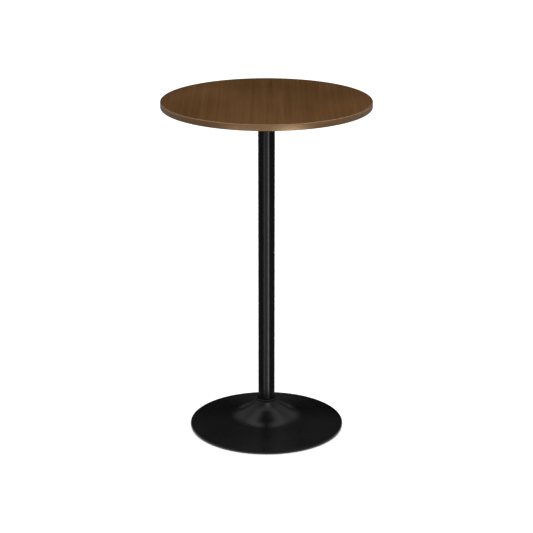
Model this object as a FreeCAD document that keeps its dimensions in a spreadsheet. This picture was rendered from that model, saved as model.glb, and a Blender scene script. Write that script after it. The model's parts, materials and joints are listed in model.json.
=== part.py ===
import FreeCAD, Part
import math
import os
import Sketcher
from FreeCAD import Rotation, Vector

# A round bar table: a veneered disc on a steel column, which stands on a spun trumpet base.
# The origin is on the floor below the middle of the column, +Z is up, lengths are millimetres.

# Driving sizes. Angles are degrees, and names that end in "count" are numbers of copies.
SIZES = {
    # whole table
    "overall_height": 990,
    "fit_gap": 0.05,
    "seat_gap": 0.3,
    "cut_overrun": 5,
    # top
    "top_diameter": 600,
    "top_thickness": 18,
    "veneer_thickness": 0.6,
    "edge_band_width": 3,
    "edge_round": 2,
    # threaded inserts in the underside of the top
    "insert_diameter": 10,
    "insert_length": 13,
    "insert_pocket_spare": 1,
    # plate that carries the top, and its bolts
    "mounting_plate_width": 200,
    "mounting_plate_thickness": 4,
    "mounting_plate_corner": 20,
    "mounting_plate_edge_round": 0.5,
    "plate_bolt_spacing": 160,
    "plate_bolt_count": 4,
    "plate_bolt_first_angle": 45,
    "plate_bolt_diameter": 6,
    "plate_bolt_hole_clearance": 0.4,
    "plate_bolt_head_width": 10,
    "plate_bolt_head_height": 4,
    "plate_bolt_grip": 10,
    "plate_bolt_tip_chamfer": 0.7,
    "washer_diameter": 12,
    "washer_thickness": 1.2,
    "lock_washer_diameter": 10.4,
    "lock_washer_thickness": 1.6,
    "lock_washer_split": 1,
    "washer_hole_clearance": 0.2,
    # column
    "column_diameter": 48.6,
    "column_wall": 2,
    "weld_leg": 4,
    # flange at the foot of the column, and its screws
    "column_flange_diameter": 110,
    "column_flange_thickness": 6,
    "column_flange_chamfer": 1,
    "column_recess_depth": 2,
    "flange_screw_circle": 80,
    "flange_screw_count": 4,
    "flange_screw_diameter": 8,
    "flange_screw_length": 12,
    "flange_screw_head_diameter": 16,
    "flange_screw_head_land": 0.5,
    "flange_screw_key_width": 5,
    "flange_screw_key_depth": 3,
    "flange_screw_tip_chamfer": 0.8,
    # steel weight plate inside the base
    "base_plate_setback": 12.3,
    "base_plate_thickness": 6,
    "base_plate_lift": 5,
    "base_plate_chamfer": 0.3,
    # spun trumpet cover of the base
    "base_diameter": 452.6,
    "rim_lift": 2,
    "cover_sheet": 1.2,
    "rim_round": 3,
    "flange_angle": 10,
    "flare_radius": 100,
    "cone_angle": 36,
    "throat_radius": 75,
    "throat_angle": 59,
    "neck_round": 3,
    "neck_lip_width": 3.8,
    "neck_height": 82,
    # plastic collar between the column and the neck of the cover
    "collar_diameter": 61,
    "collar_height": 6,
    "collar_spigot_wall": 2.8,
    "collar_spigot_depth": 8,
    "collar_round": 2,
    "collar_dish": 2,
    # levelling feet
    "foot_count": 4,
    "foot_first_angle": 45,
    "foot_inset": 34,
    "foot_pad_diameter": 28,
    "foot_pad_floor": 1.2,
    "foot_pad_chamfer": 0.8,
    "foot_stud_diameter": 8,
    "foot_stud_head_diameter": 16,
    "foot_stud_head_thickness": 1.5,
    "foot_stud_headroom": 0.4,
    "foot_stud_tip_chamfer": 1,
    "foot_key_width": 4,
    "foot_key_depth": 3,
    "foot_key_hole_clearance": 1.2,
}

doc = FreeCAD.newDocument("bar_table")
sheet = doc.addObject("Spreadsheet::Sheet", "sizes")
for row, (size_name, size_value) in enumerate(SIZES.items(), start=1):
    sheet.set("A%d" % row, size_name)
    sheet.set("B%d" % row, str(size_value))
    sheet.setAlias("B%d" % row, size_name)
doc.recompute()


def of(text):
    """Turn {name} in a formula into a reference to that cell of the sheet."""
    return text.replace("{", "sizes.").replace("}", "")


def value(text):
    """The number that a formula gives now."""
    return float(sheet.evalExpression(of(text)))


# how closely a measured edge has to match the size that it is looked up by
TOLERANCE = value("{fit_gap}") / 5

# Formulas that more than one piece uses. Heights are above the floor.
TOP_RADIUS = "({top_diameter} / 2)"
TOP_UNDERSIDE = "({overall_height} - {top_thickness})"
CORE_RADIUS = "({top_diameter} / 2 - {edge_band_width} - {fit_gap})"
PLATE_UNDERSIDE = "({overall_height} - {top_thickness} - {mounting_plate_thickness})"
BOLT_CIRCLE_RADIUS = "({plate_bolt_spacing} / sqrt(2))"
COLUMN_RADIUS = "({column_diameter} / 2)"
COLUMN_BORE_RADIUS = "({column_diameter} / 2 - {column_wall})"
BASE_PLATE_TOP = "({base_plate_lift} + {base_plate_thickness})"
FLANGE_TOP = "({base_plate_lift} + {base_plate_thickness} + {column_flange_thickness})"
SCREW_CIRCLE_RADIUS = "({flange_screw_circle} / 2)"
SCREW_CONE = "(({flange_screw_head_diameter} - {flange_screw_diameter}) / 2)"
RIM_RADIUS = "({base_diameter} / 2)"
BASE_PLATE_RADIUS = "({base_diameter} / 2 - {base_plate_setback})"
FOOT_CIRCLE_RADIUS = "({base_diameter} / 2 - {base_plate_setback} - {foot_inset})"
NECK_BORE_RADIUS = "({column_diameter} / 2 + {collar_spigot_wall} + 2 * {fit_gap})"
NECK_LIP_RADIUS = "({column_diameter} / 2 + {collar_spigot_wall} + 2 * {fit_gap} + {neck_lip_width})"
# where the slope of the flange would meet the outside of the rim, so that it rests on the plate
RIM_CORNER_HEIGHT = (
    "(" + BASE_PLATE_TOP + " + {seat_gap} + {cover_sheet} / cos({flange_angle} * 1deg)"
    " - {base_plate_setback} * tan({flange_angle} * 1deg))"
)


def new_body(name):
    """An empty body whose label is the piece's name."""
    body = doc.addObject("PartDesign::Body", name)
    body.Label = name
    body.AllowCompound = True
    return body


def origin_item(body, role):
    """One of the body's own origin planes or axes."""
    return next(item for item in body.Origin.OriginFeatures if item.Role == role)


def new_sketch(body, name, role="XZ_Plane", height="0"):
    """A sketch on one of the body's origin planes, lifted along its normal."""
    sketch = body.newObject("Sketcher::SketchObject", name)
    sketch.AttachmentSupport = [(origin_item(body, role), "")]
    sketch.MapMode = "FlatFace"
    if height != "0":
        sketch.setExpression("AttachmentOffset.Base.z", of(height) + " * 1mm")
    return sketch


def bind(sketch, constraint, formula):
    """Add a constraint and tie its value to the sheet."""
    index = sketch.addConstraint(constraint)
    sketch.setExpression("Constraints[%d]" % index, of(formula))


def pin_point(sketch, item, end, across, up):
    """Hold one end of a line, or a centre, at the two given distances from the sketch's origin."""
    if across == "0":
        sketch.addConstraint(Sketcher.Constraint("PointOnObject", item, end, -2))
    else:
        bind(sketch, Sketcher.Constraint("DistanceX", -1, 1, item, end, value(across)), across)
    if up == "0":
        sketch.addConstraint(Sketcher.Constraint("PointOnObject", item, end, -1))
    else:
        bind(sketch, Sketcher.Constraint("DistanceY", -1, 1, item, end, value(up)), up)


def draw_outline(sketch, corners):
    """A closed outline of straight lines through corners given as pairs of formulas."""
    places = [Vector(value(across), value(up), 0) for across, up in corners]
    lines = []
    for start, end in zip(places, places[1:] + places[:1]):
        lines.append(sketch.addGeometry(Part.LineSegment(start, end), False))
    for line, following in zip(lines, lines[1:] + lines[:1]):
        sketch.addConstraint(Sketcher.Constraint("Coincident", line, 2, following, 1))
    for line, (across, up) in zip(lines, corners):
        pin_point(sketch, line, 1, across, up)


def draw_circle(sketch, radius, across="0", up="0"):
    """A circle of the given radius about the given place."""
    centre = Vector(value(across), value(up), 0)
    item = sketch.addGeometry(Part.Circle(centre, Vector(0, 0, 1), value(radius)), False)
    bind(sketch, Sketcher.Constraint("Radius", item, value(radius)), radius)
    pin_point(sketch, item, 3, across, up)


def draw_hexagon(sketch, width, across):
    """A hexagon of the given width across its flats, about a place on the sketch's X axis."""
    corner = "(" + width + " / sqrt(3))"
    half = "(" + width + " / 2)"
    draw_outline(sketch, [
        (across + " + " + corner, "0"),
        (across + " + " + corner + " / 2", half),
        (across + " - " + corner + " / 2", half),
        (across + " - " + corner, "0"),
        (across + " - " + corner + " / 2", "-" + half),
        (across + " + " + corner + " / 2", "-" + half),
    ])


def turn(body, sketch, axis_distance="0", kind="Revolution"):
    """Turn a sketch about the upright axis, or about a line beside it, to add or cut material."""
    feature = body.newObject("PartDesign::" + kind, sketch.Name + "_turned")
    feature.Profile = sketch
    if axis_distance == "0":
        feature.ReferenceAxis = (sketch, ["V_Axis"])
    else:
        foot = Vector(value(axis_distance), 0, 0)
        line = sketch.addGeometry(Part.LineSegment(foot, foot + Vector(0, value("{cut_overrun}"), 0)), True)
        sketch.addConstraint(Sketcher.Constraint("Vertical", line))
        bind(sketch, Sketcher.Constraint("DistanceX", -1, 1, line, 1, foot.x), axis_distance)
        feature.ReferenceAxis = (sketch, ["Axis0"])
    feature.Angle = 360
    return feature


def pad(body, sketch, thickness):
    """Raise a sketch to a plate of the given thickness."""
    feature = body.newObject("PartDesign::Pad", sketch.Name + "_raised")
    feature.Profile = sketch
    feature.setExpression("Length", of(thickness))
    return feature


def pocket(body, sketch, depth, upwards):
    """Cut a sketch's outline into the piece, and make sure that it took something away."""
    doc.recompute()
    before = body.Shape.Volume
    feature = body.newObject("PartDesign::Pocket", sketch.Name + "_cut")
    feature.Profile = sketch
    feature.Reversed = upwards
    feature.setExpression("Length", of(depth))
    doc.recompute()
    if not body.Shape.Volume < before:
        raise RuntimeError(feature.Name + " cuts nothing")
    return feature


def ring_pattern(body, features, count):
    """Repeat features evenly about the upright axis."""
    feature = body.newObject("PartDesign::PolarPattern", features[0].Name + "_ring")
    feature.Originals = features
    feature.Axis = (origin_item(body, "Z_Axis"), [""])
    feature.Angle = 360
    feature.setExpression("Occurrences", of(count))
    body.Tip = feature
    return feature


def edge_names(shape, wanted):
    """Names of the edges for which wanted(edge) is true."""
    return ["Edge%d" % number for number, edge in enumerate(shape.Edges, start=1) if wanted(edge)]


def is_hoop(edge, radius, height=None):
    """True for a full circle about the upright axis with this radius, and this height if given."""
    curve = edge.Curve
    if not isinstance(curve, Part.Circle) or abs(curve.Radius - radius) > TOLERANCE:
        return False
    centre = curve.Center
    if Vector(centre.x, centre.y, 0).Length > TOLERANCE:
        return False
    return height is None or abs(centre.z - height) < TOLERANCE


def dress(body, kind, base, edges, size):
    """Fillet or chamfer the named edges of a feature."""
    feature = body.newObject("PartDesign::" + kind, base.Name + "_" + kind.lower())
    feature.Base = (base, edges)
    feature.setExpression("Radius" if kind == "Fillet" else "Size", of(size))
    return feature


def disc(name, radius, bottom, thickness):
    """A round plate as a body, returned with its first feature."""
    body = new_body(name)
    outline = new_sketch(body, name + "_outline", "XY_Plane", bottom)
    draw_circle(outline, radius)
    return body, pad(body, outline, thickness)


def ring_of_holes(body, name, radius, circle, bottom, depth, count):
    """Round holes cut upwards from a height, evenly spaced on a circle."""
    hole = new_sketch(body, name, "XY_Plane", bottom)
    draw_circle(hole, radius, circle)
    return ring_pattern(body, [pocket(body, hole, depth, True)], count)


def turn_about_z(body, degrees):
    """Set the whole piece round the upright axis."""
    body.setExpression("Placement.Rotation.Angle", of(degrees) + " * 1deg")


def make_top_core():
    """Fibreboard disc inside the veneers, with blind holes for the threaded inserts."""
    bottom = "(" + TOP_UNDERSIDE + " + {veneer_thickness})"
    body, _ = disc("top_core", CORE_RADIUS, bottom, "{top_thickness} - 2 * {veneer_thickness}")
    ring_of_holes(
        body, "insert_hole", "{insert_diameter} / 2 + {fit_gap}", BOLT_CIRCLE_RADIUS, bottom,
        "{insert_length} + {insert_pocket_spare} - {veneer_thickness}", "{plate_bolt_count}",
    )
    turn_about_z(body, "{plate_bolt_first_angle}")


def make_veneers():
    """Show veneer on top and balancing veneer below, which the inserts pass through."""
    disc("face_veneer", CORE_RADIUS, "({overall_height} - {veneer_thickness})", "{veneer_thickness}")
    body, _ = disc("back_veneer", CORE_RADIUS, TOP_UNDERSIDE, "{veneer_thickness}")
    ring_of_holes(
        body, "veneer_hole", "{insert_diameter} / 2 + {fit_gap}", BOLT_CIRCLE_RADIUS,
        "(" + TOP_UNDERSIDE + " - {cut_overrun})", "{veneer_thickness} + 2 * {cut_overrun}",
        "{plate_bolt_count}",
    )
    turn_about_z(body, "{plate_bolt_first_angle}")


def make_edge_band():
    """Solid wood lipping round the disc, with both outer corners rounded."""
    body = new_body("edge_band")
    section = new_sketch(body, "edge_band_section")
    inside = "(" + TOP_RADIUS + " - {edge_band_width})"
    draw_outline(section, [
        (inside, TOP_UNDERSIDE),
        (TOP_RADIUS, TOP_UNDERSIDE),
        (TOP_RADIUS, "{overall_height}"),
        (inside, "{overall_height}"),
    ])
    ring = turn(body, section)
    doc.recompute()
    radius = value(TOP_RADIUS)
    edges = edge_names(ring.Shape, lambda edge: is_hoop(edge, radius))
    dress(body, "Fillet", ring, edges, "{edge_round}")


def make_threaded_inserts():
    """Flush brass inserts that the plate bolts screw into."""
    body = new_body("threaded_inserts")
    section = new_sketch(body, "insert_section")
    outside = "(" + BOLT_CIRCLE_RADIUS + " + {insert_diameter} / 2)"
    inside = "(" + BOLT_CIRCLE_RADIUS + " + {plate_bolt_diameter} / 2 + {fit_gap})"
    end = "(" + TOP_UNDERSIDE + " + {insert_length})"
    draw_outline(section, [
        (inside, TOP_UNDERSIDE), (outside, TOP_UNDERSIDE), (outside, end), (inside, end),
    ])
    ring_pattern(body, [turn(body, section, BOLT_CIRCLE_RADIUS)], "{plate_bolt_count}")
    turn_about_z(body, "{plate_bolt_first_angle}")


def make_mounting_plate():
    """Square steel plate under the top, with round corners and four bolt holes."""
    body = new_body("mounting_plate")
    outline = new_sketch(body, "mounting_plate_outline", "XY_Plane", PLATE_UNDERSIDE)
    half = "({mounting_plate_width} / 2)"
    draw_outline(outline, [
        ("-" + half, "-" + half), (half, "-" + half), (half, half), ("-" + half, half),
    ])
    plate = pad(body, outline, "{mounting_plate_thickness}")
    doc.recompute()
    thickness = value("{mounting_plate_thickness}")
    upright = edge_names(plate.Shape, lambda edge: abs(edge.BoundBox.ZLength - thickness) < TOLERANCE)
    rounded = dress(body, "Fillet", plate, upright, "{mounting_plate_corner}")
    doc.recompute()
    underside = value(PLATE_UNDERSIDE)
    lower = edge_names(rounded.Shape, lambda edge: abs(edge.BoundBox.ZMax - underside) < TOLERANCE)
    dress(body, "Fillet", rounded, lower, "{mounting_plate_edge_round}")
    corner = "({plate_bolt_spacing} / 2)"
    hole = new_sketch(body, "plate_bolt_hole", "XY_Plane", "(" + PLATE_UNDERSIDE + " - {cut_overrun})")
    draw_circle(hole, "{plate_bolt_diameter} / 2 + {plate_bolt_hole_clearance}", corner, corner)
    depth = "{mounting_plate_thickness} + 2 * {cut_overrun}"
    ring_pattern(body, [pocket(body, hole, depth, True)], "{plate_bolt_count}")


def make_plate_fasteners():
    """Hexagon bolts with a flat and a split washer each, under the mounting plate."""
    washer_top = PLATE_UNDERSIDE
    washer_bottom = "(" + PLATE_UNDERSIDE + " - {washer_thickness})"
    head_top = "(" + PLATE_UNDERSIDE + " - {washer_thickness} - {lock_washer_thickness})"
    head_bottom = "(" + head_top + " - {plate_bolt_head_height})"
    hole = "(" + BOLT_CIRCLE_RADIUS + " + {plate_bolt_diameter} / 2 + {washer_hole_clearance})"

    flat = new_body("plate_washers")
    section = new_sketch(flat, "washer_section")
    rim = "(" + BOLT_CIRCLE_RADIUS + " + {washer_diameter} / 2)"
    draw_outline(section, [(hole, washer_bottom), (rim, washer_bottom), (rim, washer_top), (hole, washer_top)])
    ring_pattern(flat, [turn(flat, section, BOLT_CIRCLE_RADIUS)], "{plate_bolt_count}")
    turn_about_z(flat, "{plate_bolt_first_angle}")

    split = new_body("plate_lock_washers")
    section = new_sketch(split, "lock_washer_section")
    rim = "(" + BOLT_CIRCLE_RADIUS + " + {lock_washer_diameter} / 2)"
    draw_outline(section, [(hole, head_top), (rim, head_top), (rim, washer_bottom), (hole, washer_bottom)])
    ring = turn(split, section, BOLT_CIRCLE_RADIUS)
    gap = new_sketch(split, "lock_washer_gap", "XY_Plane", "(" + head_top + " - {cut_overrun})")
    beyond = "(" + BOLT_CIRCLE_RADIUS + " + {lock_washer_diameter})"
    side = "({lock_washer_split} / 2)"
    draw_outline(gap, [
        (BOLT_CIRCLE_RADIUS, "-" + side), (beyond, "-" + side), (beyond, side), (BOLT_CIRCLE_RADIUS, side),
    ])
    slit = pocket(split, gap, "{lock_washer_thickness} + 2 * {cut_overrun}", True)
    ring_pattern(split, [ring, slit], "{plate_bolt_count}")
    turn_about_z(split, "{plate_bolt_first_angle}")

    bolts = new_body("plate_bolts")
    shank = new_sketch(bolts, "plate_bolt_shank")
    side = "(" + BOLT_CIRCLE_RADIUS + " + {plate_bolt_diameter} / 2)"
    tip = "(" + TOP_UNDERSIDE + " + {plate_bolt_grip})"
    draw_outline(shank, [
        (BOLT_CIRCLE_RADIUS, head_bottom),
        (side, head_bottom),
        (side, "(" + tip + " - {plate_bolt_tip_chamfer})"),
        ("(" + side + " - {plate_bolt_tip_chamfer})", tip),
        (BOLT_CIRCLE_RADIUS, tip),
    ])
    rod = turn(bolts, shank, BOLT_CIRCLE_RADIUS)
    head = new_sketch(bolts, "plate_bolt_head", "XY_Plane", head_bottom)
    draw_hexagon(head, "{plate_bolt_head_width}", BOLT_CIRCLE_RADIUS)
    block = pad(bolts, head, "{plate_bolt_head_height}")
    ring_pattern(bolts, [rod, block], "{plate_bolt_count}")
    turn_about_z(bolts, "{plate_bolt_first_angle}")


def make_column():
    """Round tube from the recess in its flange up to the mounting plate."""
    foot = "(" + FLANGE_TOP + " - {column_recess_depth})"
    body = new_body("column_tube")
    section = new_sketch(body, "column_section")
    draw_outline(section, [
        (COLUMN_BORE_RADIUS, foot), (COLUMN_RADIUS, foot),
        (COLUMN_RADIUS, PLATE_UNDERSIDE), (COLUMN_BORE_RADIUS, PLATE_UNDERSIDE),
    ])
    turn(body, section)


def make_weld(name, plate_face, upwards):
    """Fillet weld round the column, where it meets a flat face."""
    body = new_body(name)
    section = new_sketch(body, name + "_section")
    inside = "(" + COLUMN_RADIUS + " + {fit_gap})"
    outside = "(" + inside + " + {weld_leg})"
    sign = " + " if upwards else " - "
    draw_outline(section, [
        (inside, plate_face),
        (outside, plate_face),
        (inside, "(" + plate_face + sign + "{weld_leg})"),
    ])
    turn(body, section)


def make_column_flange():
    """Steel disc welded to the foot of the tube, recessed for it and tapped for four screws."""
    body, plate = disc(
        "column_flange", "({column_flange_diameter} / 2)", BASE_PLATE_TOP, "{column_flange_thickness}",
    )
    doc.recompute()
    rim_radius = value("{column_flange_diameter} / 2")
    rim_height = value(FLANGE_TOP)
    edges = edge_names(plate.Shape, lambda edge: is_hoop(edge, rim_radius, rim_height))
    dress(body, "Chamfer", plate, edges, "{column_flange_chamfer}")
    recess = new_sketch(body, "column_recess", "XY_Plane", "(" + FLANGE_TOP + " - {column_recess_depth})")
    draw_circle(recess, "(" + COLUMN_RADIUS + " + {fit_gap})")
    pocket(body, recess, "{column_recess_depth} + {cut_overrun}", True)
    ring_of_holes(
        body, "tapped_hole", "{flange_screw_diameter} / 2 + {fit_gap}", SCREW_CIRCLE_RADIUS,
        "(" + BASE_PLATE_TOP + " - {cut_overrun})",
        "{column_flange_thickness} + 2 * {cut_overrun}", "{flange_screw_count}",
    )


def make_base_plate():
    """Round steel weight with countersunk screw holes, and tapped holes for the feet."""
    body, plate = disc("base_plate", BASE_PLATE_RADIUS, "{base_plate_lift}", "{base_plate_thickness}")
    doc.recompute()
    rim_radius = value(BASE_PLATE_RADIUS)
    edges = edge_names(plate.Shape, lambda edge: is_hoop(edge, rim_radius))
    dress(body, "Chamfer", plate, edges, "{base_plate_chamfer}")
    below = "({base_plate_lift} - {cut_overrun})"
    deep = "{base_plate_thickness} + 2 * {cut_overrun}"
    ring_of_holes(
        body, "screw_hole", "{flange_screw_diameter} / 2 + {fit_gap}", SCREW_CIRCLE_RADIUS,
        below, deep, "{flange_screw_count}",
    )
    sink = new_sketch(body, "countersink")
    land = "({base_plate_lift} + {seat_gap} + {flange_screw_head_land})"
    wide = "(" + SCREW_CIRCLE_RADIUS + " + {flange_screw_head_diameter} / 2 + {fit_gap})"
    draw_outline(sink, [
        (SCREW_CIRCLE_RADIUS, below),
        (wide, below),
        (wide, land),
        (SCREW_CIRCLE_RADIUS, "(" + land + " + {flange_screw_head_diameter} / 2 + {fit_gap})"),
    ])
    ring_pattern(body, [turn(body, sink, SCREW_CIRCLE_RADIUS, "Groove")], "{flange_screw_count}")
    foot = new_sketch(body, "foot_hole", "XY_Plane", below)
    across = FOOT_CIRCLE_RADIUS + " * cos({foot_first_angle} * 1deg)"
    up = FOOT_CIRCLE_RADIUS + " * sin({foot_first_angle} * 1deg)"
    draw_circle(foot, "{foot_stud_diameter} / 2 + {fit_gap}", across, up)
    ring_pattern(body, [pocket(body, foot, deep, True)], "{foot_count}")


def make_flange_screws():
    """Countersunk screws that come up through the base plate into the column's flange."""
    body = new_body("flange_screws")
    section = new_sketch(body, "flange_screw_section")
    underside = "({base_plate_lift} + {seat_gap})"
    land = "(" + underside + " + {flange_screw_head_land})"
    neck = "(" + land + " + " + SCREW_CONE + ")"
    tip = "(" + underside + " + {flange_screw_length})"
    head = "(" + SCREW_CIRCLE_RADIUS + " + {flange_screw_head_diameter} / 2)"
    side = "(" + SCREW_CIRCLE_RADIUS + " + {flange_screw_diameter} / 2)"
    draw_outline(section, [
        (SCREW_CIRCLE_RADIUS, underside),
        (head, underside),
        (head, land),
        (side, neck),
        (side, "(" + tip + " - {flange_screw_tip_chamfer})"),
        ("(" + side + " - {flange_screw_tip_chamfer})", tip),
        (SCREW_CIRCLE_RADIUS, tip),
    ])
    screw = turn(body, section, SCREW_CIRCLE_RADIUS)
    key = new_sketch(body, "flange_screw_key", "XY_Plane", "(" + underside + " - {cut_overrun})")
    draw_hexagon(key, "{flange_screw_key_width}", SCREW_CIRCLE_RADIUS)
    socket = pocket(body, key, "{flange_screw_key_depth} + {cut_overrun}", True)
    ring_pattern(body, [screw, socket], "{flange_screw_count}")


def slope(degrees):
    """Unit vector that runs outwards and down at this angle."""
    return Rotation(Vector(0, 0, 1), -degrees).multVec(Vector(1, 0, 0))


def bend(start, from_angle, to_angle, radius):
    """Start, middle and end of an arc that leaves start at one slope and ends at another."""
    side = 90 if to_angle > from_angle else -90
    centre = start + slope(from_angle + side) * radius
    middle = centre - slope((from_angle + to_angle) / 2 + side) * radius
    return start, middle, centre - slope(to_angle + side) * radius


def draw_cover_side(sketch, inset):
    """One side of the cover's sheet, from the neck's bore to the foot of the rim.

    The neck rounds over into the throat, which eases to a straight cone. A flare turns the cone
    into the nearly flat flange, and the flange rounds over into the upright rim. The inner side
    lies inset from the outer one, on the same centres. Returns the first and the last line.
    """
    neck_radius = "({neck_round} - " + inset + ")"
    throat_radius = "({throat_radius} + " + inset + ")"
    flare_radius = "({flare_radius} + " + inset + ")"
    round_radius = "({rim_round} - " + inset + ")"
    rim_radius = "(" + RIM_RADIUS + " - " + inset + ")"
    lip_height = "({neck_height} - " + inset + ")"
    neck_end = "({neck_height} - {neck_round} + " + neck_radius + " * cos({throat_angle} * 1deg))"
    drop = "(" + inset + " * (1 - sin({flange_angle} * 1deg)) / cos({flange_angle} * 1deg))"
    corner_height = "(" + RIM_CORNER_HEIGHT + " - " + drop + ")"
    flange_angle = value("{flange_angle}")
    cone_angle = value("{cone_angle}")
    throat_angle = value("{throat_angle}")

    bore_top = Vector(value(NECK_BORE_RADIUS), value(lip_height), 0)
    lip = Vector(value(NECK_LIP_RADIUS), value(lip_height), 0)
    rim_foot = Vector(value(rim_radius), value("{rim_lift}"), 0)
    corner = Vector(value(rim_radius), value(corner_height), 0)
    neck = bend(lip, 0, throat_angle, value(neck_radius))
    throat = bend(neck[2], throat_angle, cone_angle, value(throat_radius))
    cone_line = Part.Line(throat[2], throat[2] + slope(cone_angle))
    crossing = cone_line.intersect(Part.Line(corner, corner + slope(flange_angle)))[0]
    flare_reach = value(flare_radius + " * tan(({cone_angle} - {flange_angle}) / 2 * 1deg)")
    flare_start = Vector(crossing.X, crossing.Y, 0) - slope(cone_angle) * flare_reach
    flare = bend(flare_start, cone_angle, flange_angle, value(flare_radius))
    round_reach = value(round_radius + " * tan((90 - {flange_angle}) / 2 * 1deg)")
    rounding = bend(corner - slope(flange_angle) * round_reach, flange_angle, 90, value(round_radius))

    lip_item = sketch.addGeometry(Part.LineSegment(bore_top, lip), False)
    neck_item = sketch.addGeometry(Part.Arc(*neck), False)
    throat_item = sketch.addGeometry(Part.Arc(*throat), False)
    cone_item = sketch.addGeometry(Part.LineSegment(throat[2], flare[0]), False)
    flare_item = sketch.addGeometry(Part.Arc(*flare), False)
    flange_item = sketch.addGeometry(Part.LineSegment(flare[2], rounding[0]), False)
    round_item = sketch.addGeometry(Part.Arc(*rounding), False)
    rim_item = sketch.addGeometry(Part.LineSegment(rounding[2], rim_foot), False)
    corner_item = sketch.addGeometry(Part.Point(corner), True)

    # An arc's ends are numbered anticlockwise, so the two convex arcs are joined end first.
    joins = [
        (lip_item, 2, neck_item, 2),
        (neck_item, 1, throat_item, 1),
        (throat_item, 2, cone_item, 1),
        (cone_item, 2, flare_item, 1),
        (flare_item, 2, flange_item, 1),
        (flange_item, 2, round_item, 2),
        (round_item, 1, rim_item, 1),
    ]
    for join in joins:
        sketch.addConstraint(Sketcher.Constraint("Tangent", *join))
    sketch.addConstraint(Sketcher.Constraint("Vertical", rim_item))
    sketch.addConstraint(Sketcher.Constraint("PointOnObject", corner_item, 1, flange_item))
    pin_point(sketch, lip_item, 1, NECK_BORE_RADIUS, lip_height)
    pin_point(sketch, lip_item, 2, NECK_LIP_RADIUS, lip_height)
    pin_point(sketch, rim_item, 2, rim_radius, "{rim_lift}")
    pin_point(sketch, corner_item, 1, rim_radius, corner_height)
    radii = {
        neck_item: neck_radius,
        throat_item: throat_radius,
        flare_item: flare_radius,
        round_item: round_radius,
    }
    for item, radius in radii.items():
        bind(sketch, Sketcher.Constraint("Radius", item, value(radius)), radius)
    bind(sketch, Sketcher.Constraint("DistanceY", -1, 1, neck_item, 1, value(neck_end)), neck_end)
    for item, angle in ((cone_item, "{cone_angle}"), (flange_item, "{flange_angle}")):
        bind(sketch, Sketcher.Constraint("Angle", item, -math.radians(value(angle))), "-" + angle + " * 1deg")
    return lip_item, rim_item


def make_base_cover():
    """Trumpet shell spun from one sheet, open below and at the neck."""
    body = new_body("base_cover")
    section = new_sketch(body, "cover_section")
    outer_lip, outer_rim = draw_cover_side(section, "0")
    inner_lip, inner_rim = draw_cover_side(section, "{cover_sheet}")
    for outer, inner, end in ((outer_lip, inner_lip, 1), (outer_rim, inner_rim, 2)):
        line = section.addGeometry(
            Part.LineSegment(section.getPoint(outer, end), section.getPoint(inner, end)), False,
        )
        section.addConstraint(Sketcher.Constraint("Coincident", line, 1, outer, end))
        section.addConstraint(Sketcher.Constraint("Coincident", line, 2, inner, end))
    turn(body, section)


def make_neck_collar():
    """Plastic ring that covers the joint: a spigot in the neck under a rounded, dished flange."""
    body = new_body("neck_collar")
    section = new_sketch(body, "collar_section")
    inside = "(" + COLUMN_RADIUS + " + {fit_gap})"
    spigot = "(" + COLUMN_RADIUS + " + {fit_gap} + {collar_spigot_wall})"
    outside = "({collar_diameter} / 2)"
    seat = "({neck_height} + {fit_gap})"
    top = "(" + seat + " + {collar_height})"
    draw_outline(section, [
        (inside, "({neck_height} - {collar_spigot_depth})"),
        (spigot, "({neck_height} - {collar_spigot_depth})"),
        (spigot, seat),
        (outside, seat),
        (outside, top),
        ("(" + inside + " + {collar_dish})", top),
        (inside, "(" + top + " - {collar_dish})"),
    ])
    ring = turn(body, section)
    doc.recompute()
    edges = edge_names(ring.Shape, lambda edge: is_hoop(edge, value(outside), value(top)))
    dress(body, "Fillet", ring, edges, "{collar_round}")


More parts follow.
